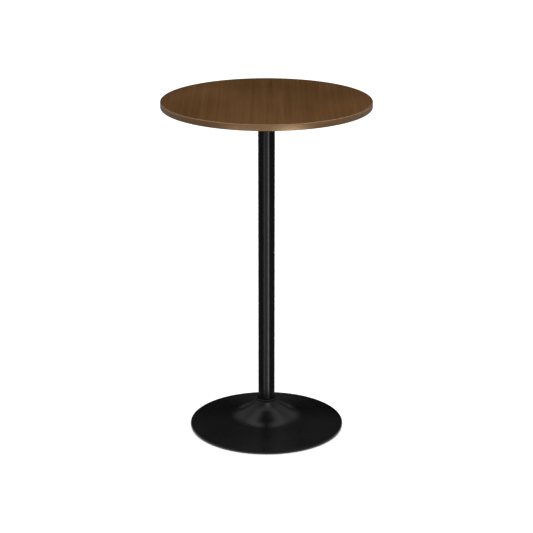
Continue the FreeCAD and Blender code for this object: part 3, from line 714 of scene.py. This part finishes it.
def spun(points, segments, closed=True, gap=0.0):
    """Spin an outline about the upright axis, less a gap, and return the bmesh."""
    made = bmesh.new()
    start = Matrix.Rotation(gap / 2, 3, "Z")
    verts = [made.verts.new(start @ Vector((point.x, 0, point.y))) for point in points]
    edges = [made.edges.new(pair) for pair in zip(verts, verts[1:])]
    if closed:
        edges.append(made.edges.new((verts[-1], verts[0])))
    bmesh.ops.spin(
        made, geom=verts + edges, cent=(0, 0, 0), axis=(0, 0, 1), dvec=(0, 0, 0),
        angle=2 * math.pi - gap, steps=segments, use_merge=gap == 0, use_duplicate=False,
    )
    bmesh.ops.remove_doubles(made, verts=made.verts, dist=same_place)
    if gap:
        bmesh.ops.holes_fill(made, edges=[edge for edge in made.edges if edge.is_boundary], sides=0)
    bmesh.ops.recalc_face_normals(made, faces=made.faces)
    return made


# %% [markdown]
# A finished mesh becomes a piece of the table in three steps: it gets the material of its
# solid's slot, it rides on the body that carries it, and it takes the place of its solid.
# Smooth shading with sharp edges kept at real corners makes the facets disappear.

# %% Piece helper
sharp_angle = math.radians(35)


def make_piece(name, shape, body, node):
    """Turn a bmesh into a piece that rides on a body in place of the given solid."""
    mesh = bpy.data.meshes.new(name)
    shape.to_mesh(mesh)
    shape.free()
    mesh.shade_smooth()
    mesh.set_sharp_from_angle(angle=sharp_angle)
    piece = bpy.data.objects.new(name, mesh)
    bpy.context.scene.collection.objects.link(piece)
    mesh.materials.append(finishes[slot_of[node]])
    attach(piece, body)
    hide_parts(node)
    print(name, "has", len(mesh.polygons), "faces")
    return piece


# %% [markdown]
# ## The top
#
# The board and the veneer below it stay as the solids that they are, with their finishes. The
# show veneer is a disc 0.6 mm thick. Its rim is not quite sharp: lacquer rounds it, and a
# hair-fine groove is left where it meets the lipping.

# %% Show veneer
top_segments = 256
veneer_edge_round = 0.00015

low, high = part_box("face_veneer")
veneer_radius = high.x
make_piece("show_veneer", spun(rounded([
    (0, low.z, 0),
    (veneer_radius, low.z, 0),
    (veneer_radius, high.z, veneer_edge_round),
    (0, high.z, 0),
]), top_segments), "frame", "face_veneer")

# %% [markdown]
# The lipping is a strip of solid wood, glued on and sanded: a ring, rounded by 2 mm at both
# outer corners. A hair's breadth is left between it and the veneer, so that their faces never
# lie in the same place. The collar and the weld beads below keep the same gap from the column.

# %% Lipping
lipping_round = 0.002
hair_gap = 0.00005

low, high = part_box("edge_band")
lipping_bore = veneer_radius + hair_gap
lipping = make_piece("lipping", spun(rounded([
    (lipping_bore, low.z, 0),
    (high.x, low.z, lipping_round),
    (high.x, high.z, lipping_round),
    (lipping_bore, high.z, veneer_edge_round),
]), top_segments), "frame", "edge_band")
lipping_only.objects.link(lipping)
mirror_pieces.objects.link(lipping)

# %% [markdown]
# ## The column
#
# A steel tube with clean cut ends. Two cylinders and a Boolean would make it, but the same four
# corners as before are simpler, and they have the ends broken by a file as well.

# %% Column
column_segments = 128
column_wall = 0.002
filed_edge = 0.0003

low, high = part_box("column_tube")
column_radius = high.x
column = make_piece("column", spun(rounded([
    (column_radius - column_wall, low.z, filed_edge),
    (column_radius, low.z, filed_edge),
    (column_radius, high.z, filed_edge),
    (column_radius - column_wall, high.z, filed_edge),
]), column_segments), "frame", "column_tube")
column_only.objects.link(column)
mirror_pieces.objects.link(column)

# %% [markdown]
# ## The trumpet cover
#
# The cover is spun on a lathe from one sheet of steel. Its section is five straight runs, whose
# corners are rounded by the roller: the lip at the neck, the steep throat, the cone, the nearly
# flat flange and the upright rim. The corners are worked out from the slopes of the runs: the
# throat goes down from the neck, the flange goes up from the rim, and the cone is as long as it
# has to be to join them.

# %% Cover sizes
neck_lip = 0.0038
neck_round = 0.003
throat_slope = math.radians(59)
throat_round = 0.075
cone_slope = math.radians(36)
flare_round = 0.100
flange_slope = math.radians(10)
rim_corner_height = 0.01035
rim_round = 0.0015
cover_bore = 0.0272


# %% Cover corners
def run_down(start, slope, distance):
    """The point at a distance from start, outwards and down at the given slope."""
    return start + Vector((math.cos(slope), -math.sin(slope))) * distance


low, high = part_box("base_cover")
neck_reach = neck_round * math.tan(throat_slope / 2)
throat_reach = throat_round * math.tan((throat_slope - cone_slope) / 2)
neck_corner = Vector((cover_bore + neck_lip + neck_reach, high.z))
throat_corner = run_down(neck_corner, throat_slope, neck_reach + throat_reach)
rim_corner = Vector((high.x, rim_corner_height))
flange_rise = math.tan(flange_slope) * (rim_corner.x - throat_corner.x)
drop = throat_corner.y - rim_corner.y - flange_rise
cone_run = drop / (math.sin(cone_slope) - math.cos(cone_slope) * math.tan(flange_slope))
flare_corner = run_down(throat_corner, cone_slope, cone_run)
print("the flare's corner is", round(flare_corner.x * 1000, 1), "mm from the axis")

# %% [markdown]
# Only the outer side is drawn. A Solidify modifier gives the sheet its thickness inwards, evenly
# all over, which is how sheet metal behaves. The rim's round is a little more than that
# thickness, so that the inner side keeps a small round of its own and its faces don't fold up.
#
# One more point on the rim marks how high it is rubbed. The faces below it get the second
# material of the mesh.

# %% Trumpet cover
cover_segments = 256
cover_sheet = 0.0012
rubbed_height = 0.0062

cover = make_piece("trumpet_cover", spun(rounded([
    (cover_bore, high.z, 0),
    (*neck_corner, neck_round),
    (*throat_corner, throat_round),
    (*flare_corner, flare_round),
    (*rim_corner, rim_round),
    (high.x, rubbed_height, 0),
    (high.x, low.z, 0),
], closed=False), cover_segments, closed=False), "frame", "base_cover")
thicken = cover.modifiers.new("sheet", "SOLIDIFY")
thicken.thickness = cover_sheet
thicken.offset = -1
thicken.use_even_offset = True

# both coats of the cover carry its darker tone, which is painted shade
cover.data.materials[0] = finishes["cover_coat_with_painted_shade"]
cover.data.materials.append(finishes["rubbed_coat_with_painted_shade"])
for face in cover.data.polygons:
    if face.center.z < rubbed_height:
        face.material_index = 1
mirror_pieces.objects.link(cover)

# %% [markdown]
# ## The collar
#
# A moulded ring hides the joint between the column and the neck. A thin spigot goes down into
# the neck, a shoulder rests on its lip, and a dish round the column makes the dark gap that the
# photograph shows there.

# %% Collar
collar_segments = 128
collar_round = 0.0014
spigot_wall = 0.0028
collar_dish = 0.0036
collar_dish_depth = 0.0045
dish_lip_round = 0.0006
moulded_edge = 0.0003

low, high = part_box("neck_collar")
collar_bore = column_radius + hair_gap
spigot_radius = collar_bore + spigot_wall
collar_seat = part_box("base_cover")[1].z + hair_gap
collar = make_piece("collar", spun(rounded([
    (collar_bore, low.z, 0),
    (spigot_radius, low.z, 0),
    (spigot_radius, collar_seat, 0),
    (high.x, collar_seat, moulded_edge),
    (high.x, high.z, collar_round),
    (collar_bore + collar_dish, high.z, dish_lip_round),
    (collar_bore, high.z - collar_dish_depth, moulded_edge),
]), collar_segments), "frame", "neck_collar")
mirror_pieces.objects.link(collar)

# %% [markdown]
# ## Shapes whose radius changes with the angle
#
# A hexagon head, a thread and a weld bead can't come from a plain spin. Here each is a stack of
# rings about an upright axis, with a skin between them. The radius and the height of a ring may
# be plain numbers, or functions of the angle round the axis. Modelling them by hand, or with an
# Array and a Screw modifier, would work too, but a few rings say exactly what is meant.

# %% Ring helper
def at_angle(given, angle):
    """The number itself, or what the function gives at this angle."""
    return given(angle) if callable(given) else given


def skinned(rings, segments, closed=False):
    """Skin a stack of (radius, height) rings. A radius of 0 is a single point on the axis."""
    made = bmesh.new()
    rows = []
    for radius, height in rings:
        if radius == 0:
            rows.append([made.verts.new((0, 0, height))] * segments)
            continue
        row = []
        for index in range(segments):
            angle = 2 * math.pi * index / segments
            reach = at_angle(radius, angle)
            row.append(made.verts.new(
                (reach * math.cos(angle), reach * math.sin(angle), at_angle(height, angle))
            ))
        rows.append(row)
    pairs = list(zip(rows, rows[1:]))
    if closed:
        pairs.append((rows[-1], rows[0]))
    for lower, upper in pairs:
        for index in range(segments):
            after = (index + 1) % segments
            corners = (lower[index], lower[after], upper[after], upper[index])
            made.faces.new(list(dict.fromkeys(corners)))
    bmesh.ops.recalc_face_normals(made, faces=made.faces)
    return made


# %% [markdown]
# The fasteners come in fours. One is made on the axis and copied to its places: out along X by
# a distance, then round by an angle.

# %% Copy helper
def repeated(shape, reach, turns):
    """Copy a bmesh to the same distance from the column at each turn."""
    single = bpy.data.meshes.new("single")
    shape.to_mesh(single)
    shape.free()
    whole = bmesh.new()
    for turn in turns:
        first = len(whole.verts)
        whole.from_mesh(single)
        whole.verts.ensure_lookup_table()
        place = Matrix.Rotation(turn, 4, "Z") @ Matrix.Translation((reach, 0, 0))
        bmesh.ops.transform(whole, matrix=place, verts=whole.verts[first:])
    bpy.data.meshes.remove(single)
    return whole


# %% [markdown]
# A hexagon's radius is smallest at the middle of each flat and largest at the corners. A
# thread's radius follows a ridge that climbs by one pitch in each turn, cut flat at its crest
# and root. Each ring of a thread lies at one height, so the skin stays simple and closed.

# %% Hexagon and thread
thread_depth_share = 0.55
thread_flat = 0.15


def hexagon(width):
    """The radius, at each angle, of a hexagon with this width across its flats."""
    def radius(angle):
        return width / 2 / math.cos(angle % (math.pi / 3) - math.pi / 6)
    return radius


def thread(radius, pitch, start, end, rows_per_turn=6):
    """Rings of an outside thread between two heights."""
    depth = thread_depth_share * pitch
    count = math.ceil((end - start) / pitch * rows_per_turn)
    rings = []
    for row in range(count + 1):
        height = start + (end - start) * row / count

        def ridge(angle, height=height):
            phase = (height / pitch - angle / (2 * math.pi)) % 1
            rise = 1 - abs(2 * phase - 1)
            flank = (rise - thread_flat) / (1 - 2 * thread_flat)
            return radius - depth * (1 - min(1, max(0, flank)))
        rings.append((ridge, height))
    return rings


# %% [markdown]
# ## Under the top
#
# The square plate and the brass inserts stay as their solids. Four M6 bolts hold the plate to
# the inserts in the board. Each hexagon head is chamfered by a cone, which leaves the curved
# corners of a real bolt, because the cone meets the flats lower than the corners. A shallow
# recess in its face is left by the forging.

# %% Plate bolt sizes
plate_corner = 0.08
bolt_reach = plate_corner * math.sqrt(2)
bolt_turns = [math.radians(45 + 90 * place) for place in range(4)]
bolt_segments = 36
bolt_radius = 0.003
bolt_pitch = 0.001
bolt_head_width = 0.010
bolt_head_height = 0.004
bolt_face_radius = 0.0047
bolt_tip_chamfer = 0.0007
recess_depth = 0.0003
recess_floor, recess_edge = 0.8, 0.86
chamfer_slope = math.tan(math.radians(30))

# %% Plate bolts
low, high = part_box("plate_bolts")
bolt_flats = hexagon(bolt_head_width)
head_top = low.z + bolt_head_height


def bolt_chamfer(angle):
    """Height of the edge where the cone cuts the flats of the bolt's head."""
    return low.z + (bolt_flats(angle) - bolt_face_radius) * chamfer_slope


bolt_thread = thread(
    bolt_radius, bolt_pitch, head_top + bolt_radius, high.z - bolt_tip_chamfer, rows_per_turn=5,
)
make_piece("hexagon_bolts", repeated(skinned([
    (0, low.z + recess_depth),
    (bolt_face_radius * recess_floor, low.z + recess_depth),
    (bolt_face_radius * recess_edge, low.z),
    (bolt_face_radius, low.z),
    (bolt_flats, bolt_chamfer),
    (bolt_flats, head_top),
    (bolt_radius, head_top),
    *bolt_thread,
    (bolt_radius - bolt_tip_chamfer, high.z),
    (0, high.z),
], bolt_segments), bolt_reach, bolt_turns), "frame", "plate_bolts")

# %% [markdown]
# The flat washers are punched from sheet. The punch rolls the edge over on the side where it
# enters, so the lower outer edge is rounder than the others. The pieces are tiny, so their arcs
# take coarser steps.

# %% Flat washers
washer_segments = 48
washer_hole = 0.0032
washer_radius = 0.006
punched_round = 0.00035
washer_round = 0.0002
coarse_step = math.radians(30)

low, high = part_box("plate_washers")
make_piece("flat_washers", repeated(spun(rounded([
    (washer_hole, low.z, washer_round),
    (washer_radius, low.z, punched_round),
    (washer_radius, high.z, washer_round / 2),
    (washer_hole, high.z, washer_round / 2),
], arc_step=coarse_step), washer_segments), bolt_reach, bolt_turns), "frame", "plate_washers")

# %% [markdown]
# The spring washers are wire, coiled to one turn and cut, which leaves a slit. The spin stops
# short by the slit's angle, and the two open ends are filled.

# %% Spring washers
spring_segments = 46
spring_radius = 0.0052
spring_slit = math.radians(13.5)

low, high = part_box("plate_lock_washers")
spring_washer = spun(rounded([
    (washer_hole, low.z, washer_round),
    (spring_radius, low.z, washer_round),
    (spring_radius, high.z, washer_round),
    (washer_hole, high.z, washer_round),
], arc_step=coarse_step), spring_segments, gap=spring_slit)
make_piece("spring_washers", repeated(spring_washer, bolt_reach, bolt_turns),
           "frame", "plate_lock_washers")

# %% [markdown]
# ### The weld beads
#
# A weld bead is a row of overlapping frozen puddles. Its section is a triangle with a slightly
# swollen face, and the swelling pulses once for each puddle. Two slower waves keep the hand of
# the welder visible. One function makes the bead under the plate and the one on the foot flange.

# %% Weld bead helper
weld_leg = 0.004
weld_swell = 0.00035
weld_puddles = 96
segments_per_puddle = 4
puddle_share, hand_share = 0.55, 0.45
slow_waves, quick_waves, wave_height = 5, 13, 0.25
face_steps = 6


def weld_bead(face, upwards):
    """A fillet bead round the column, on a face above or below it."""
    toward = 1 if upwards else -1
    inner = column_radius + hair_gap

    def swell(angle):
        pulse = abs(math.cos(angle * weld_puddles / 2))
        hand = (0.5 + wave_height * math.sin(slow_waves * angle)
                + wave_height * math.sin(quick_waves * angle + 1))
        return weld_swell * (puddle_share * pulse + hand_share * hand)

    def face_ring(share):
        bulge = math.sin(math.pi * share)
        return (
            lambda angle: inner + weld_leg * (1 - share) + swell(angle) * bulge,
            lambda angle: face + toward * (weld_leg * share + swell(angle) * bulge),
        )

    rings = [(inner, face)] + [face_ring(step / face_steps) for step in range(face_steps + 1)]
    return skinned(rings, weld_puddles * segments_per_puddle, closed=True)


# %% Weld beads
plate_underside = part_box("plate_weld")[1].z
flange_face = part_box("flange_weld")[0].z
make_piece("plate_bead", weld_bead(plate_underside, upwards=False), "frame", "plate_weld")
make_piece("flange_bead", weld_bead(flange_face, upwards=True), "frame", "flange_weld")

# %% [markdown]
# ## Under the base
#
# The weight plate and the column's flange stay as their solids too. The screws and the studs of
# the feet both have a hexagon socket below and a thread above, so one function makes both from
# the outline of their head. The socket ends in the cone that the drill left, and its mouth is
# chamfered by a cone as well.

# %% Socket screw helper
screw_segments = 48
thread_pitch = 0.00125
thread_run_in = 0.0004
mouth_margin = 0.0003
mouth_slope = 0.6
drill_share = 1 / 8


def socket_screw(low, high, key_width, key_depth, head, neck, radius, tip_chamfer):
    """A screw that stands on its head: a hexagon socket below, a thread up to the tip."""
    socket = hexagon(key_width)
    mouth = key_width / math.sqrt(3) + mouth_margin
    ceiling = low + key_depth
    return skinned([
        (0, ceiling + key_width * drill_share),
        (socket, ceiling),
        (socket, lambda angle: low + (mouth - socket(angle)) * mouth_slope),
        (mouth, low),
        *head,
        (radius, neck),
        *thread(radius, thread_pitch, neck + thread_run_in, high - tip_chamfer),
        (radius - tip_chamfer, high),
        (0, high),
    ], screw_segments)


# %% [markdown]
# Four countersunk screws hold the weight plate to the flange. Their heads are cones of 45
# degrees above a short upright land.

# %% Flange screw sizes
screw_reach = 0.04
screw_turns = [math.radians(90 * place) for place in range(4)]
screw_radius = 0.004
screw_head_radius = 0.008
screw_land = 0.0005
screw_key_width, screw_key_depth = 0.005, 0.003
screw_tip_chamfer = 0.0008
turned_edge = 0.0002

# %% Flange screws
low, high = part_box("flange_screws")
screw_neck = low.z + screw_land + screw_head_radius - screw_radius
screw_head = [
    (screw_head_radius - turned_edge, low.z),
    (screw_head_radius, low.z + turned_edge),
    (screw_head_radius, low.z + screw_land),
]
screw = socket_screw(low.z, high.z, screw_key_width, screw_key_depth, screw_head, screw_neck,
                     screw_radius, screw_tip_chamfer)
make_piece("countersunk_screws", repeated(screw, screw_reach, screw_turns),
           "frame", "flange_screws")

# %% [markdown]
# ### The levelling feet
#
# Each foot is a moulded pad and a stud that turns in it. The stud's flat head is trapped in the
# pad, and a key reaches its socket through the hole in the sole. Two shallow rings are moulded
# into the sole for grip. The pad's section is one closed outline with the pocket inside it, so
# it can be spun in one go.

# %% Pad sizes
pad_segments = 64
pad_radius = 0.014
pad_chamfer = 0.0008
pad_floor = 0.0012
pad_pocket_radius = 0.00805
pad_pocket_top = 0.0028
pad_bore = 0.00405
key_hole = 0.0035
groove_depth = 0.0004
groove_width = 0.0012
groove_radii = (0.0068, 0.0103)
soft_round = 0.00025
crisp_round = 0.0001


# %% Pad section
def foot_pad(bottom, top):
    """A pad: its outline from the key hole round the outside and back through the pocket."""
    outline = [(key_hole, bottom, soft_round)]
    for middle in groove_radii:
        near, far = middle - groove_width / 2, middle + groove_width / 2
        outline += [
            (near, bottom, crisp_round),
            (near + groove_depth / 2, bottom + groove_depth, crisp_round),
            (far - groove_depth / 2, bottom + groove_depth, crisp_round),
            (far, bottom, crisp_round),
        ]
    outline += [
        (pad_radius - pad_chamfer, bottom, soft_round),
        (pad_radius, bottom + pad_chamfer, soft_round),
        (pad_radius, top - pad_chamfer, soft_round),
        (pad_radius - pad_chamfer, top, soft_round),
        (pad_bore, top, soft_round),
        (pad_bore, pad_pocket_top, crisp_round),
        (pad_pocket_radius, pad_pocket_top, crisp_round),
        (pad_pocket_radius, pad_floor, crisp_round),
        (key_hole, pad_floor, crisp_round),
    ]
    return spun(rounded(outline, arc_step=coarse_step), pad_segments)


# %% [markdown]
# The pad rides on the body that slides, the stud on the one that turns. Both are made for each
# foot from the box of its own solid.

# %% Levelling feet
foot_reach = 0.18
foot_turns = {"back_right": 45, "back_left": 135, "front_left": 225, "front_right": 315}
stud_head_radius = 0.008
stud_head_top = 0.00275
stud_key_width, stud_key_depth = 0.004, 0.003
stud_tip_chamfer = 0.001

for corner, turn in foot_turns.items():
    turns = [math.radians(turn)]
    low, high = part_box("foot_pad_" + corner)
    make_piece("pad_" + corner + "_moulding", repeated(foot_pad(low.z, high.z), foot_reach, turns),
               "pad_" + corner, "foot_pad_" + corner)
    low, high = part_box("foot_stud_" + corner)
    stud_head = [
        (stud_head_radius - turned_edge, low.z),
        (stud_head_radius, low.z + turned_edge),
        (stud_head_radius, stud_head_top - turned_edge),
        (stud_head_radius - turned_edge, stud_head_top),
    ]
    stud = socket_screw(low.z, high.z, stud_key_width, stud_key_depth, stud_head, stud_head_top,
                        screw_radius, stud_tip_chamfer)
    make_piece("stud_" + corner + "_screw", repeated(stud, foot_reach, turns),
               "stud_" + corner, "foot_stud_" + corner)
